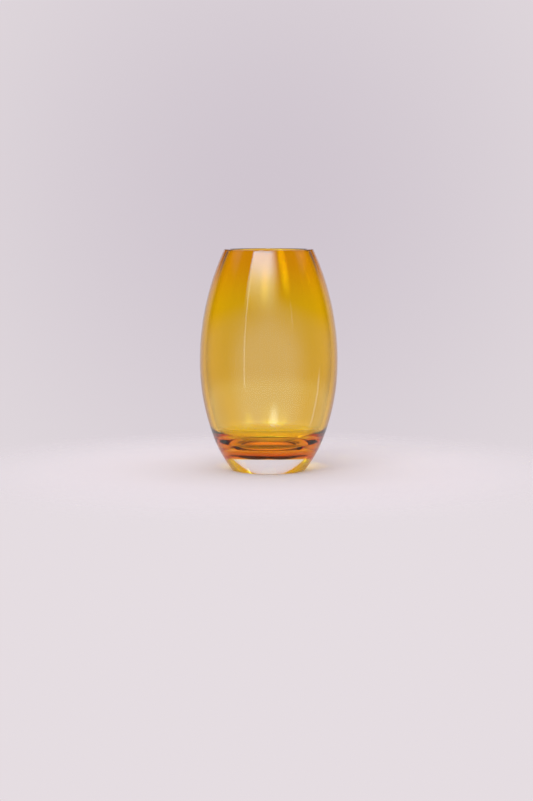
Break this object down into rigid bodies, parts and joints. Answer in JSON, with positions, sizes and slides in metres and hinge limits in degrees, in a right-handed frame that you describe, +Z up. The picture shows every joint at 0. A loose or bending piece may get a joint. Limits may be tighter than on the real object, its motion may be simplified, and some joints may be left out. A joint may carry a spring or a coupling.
{
  "type": "glass vase",
  "caption": "Barrel-shaped cased-glass vase: an amber cup fused inside a clear casing, with a heavy clear base and a wide, flat-cut mouth.",
  "frame": {"origin": "centre of the foot's flat ring, on the surface that the vase stands on", "axes": "+Z up the vase's axis of revolution, towards the mouth; X and Y are arbitrary"},
  "size_m": [0.1248, 0.1248, 0.2],
  "materials": {
    "clear_glass": "smooth and glossy, colourless",
    "amber_glass": "smooth and glossy, transparent amber"
  },
  "bodies": {
    "root": {"clear_outer_casing": "clear_glass", "amber_inner_layer": "amber_glass"}
  },
  "joints": []
}
